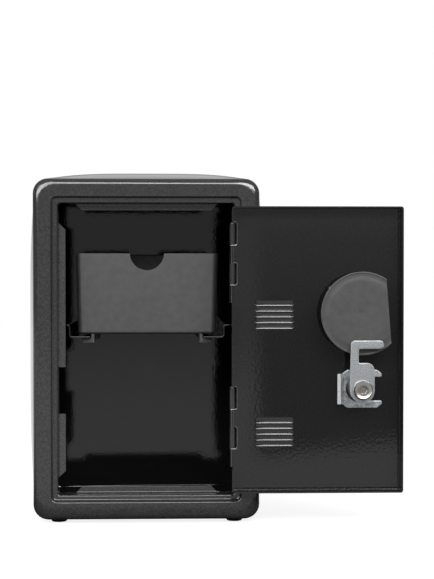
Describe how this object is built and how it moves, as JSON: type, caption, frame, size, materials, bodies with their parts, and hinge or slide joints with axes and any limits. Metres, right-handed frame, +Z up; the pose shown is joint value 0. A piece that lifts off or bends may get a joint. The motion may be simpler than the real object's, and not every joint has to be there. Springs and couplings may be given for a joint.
{
  "type": "key and dial safe",
  "caption": "Small upright steel safe with a right-hung louvred door, a dial with a latch disc, a key lock with a hooked cam, and a tray that slides on side rails.",
  "frame": {"origin": "on the ground, in the middle between the rubber feet, which stand on it", "axes": "+X to the right seen from the front, +Y from the door opening towards the back panel, +Z up"},
  "size_m": [0.2013, 0.1201, 0.1886],
  "materials": {
    "black_steel": "gloss powder coat, black",
    "door_steel": "gloss powder coat, charcoal black",
    "black_rubber": "matt, moulded",
    "steel_pin": "dark, worn",
    "black_plastic": "fine grain, black",
    "grey_plastic": "matt, dark grey",
    "tray_plastic": "matt, mid grey",
    "zinc": "satin zinc plating",
    "nickel": "bright nickel plating",
    "galvanised": "zinc-coated spring steel",
    "brass": "plain machined",
    "lock_body": "die-cast, dark plated"
  },
  "bodies": {
    "cabinet": {"front_frame": "black_steel", "body_shell": "black_steel", "base_plate": "black_steel", "back_panel": "black_steel", "rubber_feet": "black_rubber", "left_rail": "black_steel", "right_rail": "black_steel", "upper_hinge_leaf": "black_steel", "lower_hinge_leaf": "black_steel", "upper_hinge_pin": "steel_pin", "lower_hinge_pin": "steel_pin"},
    "door": {"door_panel": "door_steel", "dial_plate": "black_plastic", "lock_housing": "lock_body", "lock_clip": "galvanised"},
    "dial": {"dial_knob": "black_plastic", "dial_cap": "nickel", "knob_screw": "nickel", "wave_washer": "galvanised", "locking_disc": "grey_plastic"},
    "lock": {"lock_plug": "brass", "wafers": "brass", "wafer_springs": "galvanised", "cam": "zinc", "cam_washer": "nickel", "cam_screw": "nickel"},
    "key": {"key": "nickel"},
    "tray": {"tray": "tray_plastic"}
  },
  "joints": [
    {"name": "door_hinge", "type": "hinge", "parent": "cabinet", "child": "door", "pos_m": [0.04545, -0.0498, 0.0929], "axis": [0, 0, 1], "range_deg": [-180, 0]},
    {"name": "dial_turn", "type": "hinge", "parent": "door", "child": "dial", "pos_m": [0.1131, -0.05, 0.1121], "axis": [0, 1, 0], "continuous": true},
    {"name": "lock_turn", "type": "hinge", "parent": "door", "child": "lock", "pos_m": [0.1131, -0.05, 0.0727], "axis": [0, 1, 0], "range_deg": [0, 90]},
    {"name": "key_pull", "type": "slide", "parent": "lock", "child": "key", "axis": [0, 1, 0], "range_m": [0, 0.028]},
    {"name": "tray_slide", "type": "slide", "parent": "cabinet", "child": "tray", "axis": [0, -1, 0], "range_m": [0, 0.06]}
  ]
}
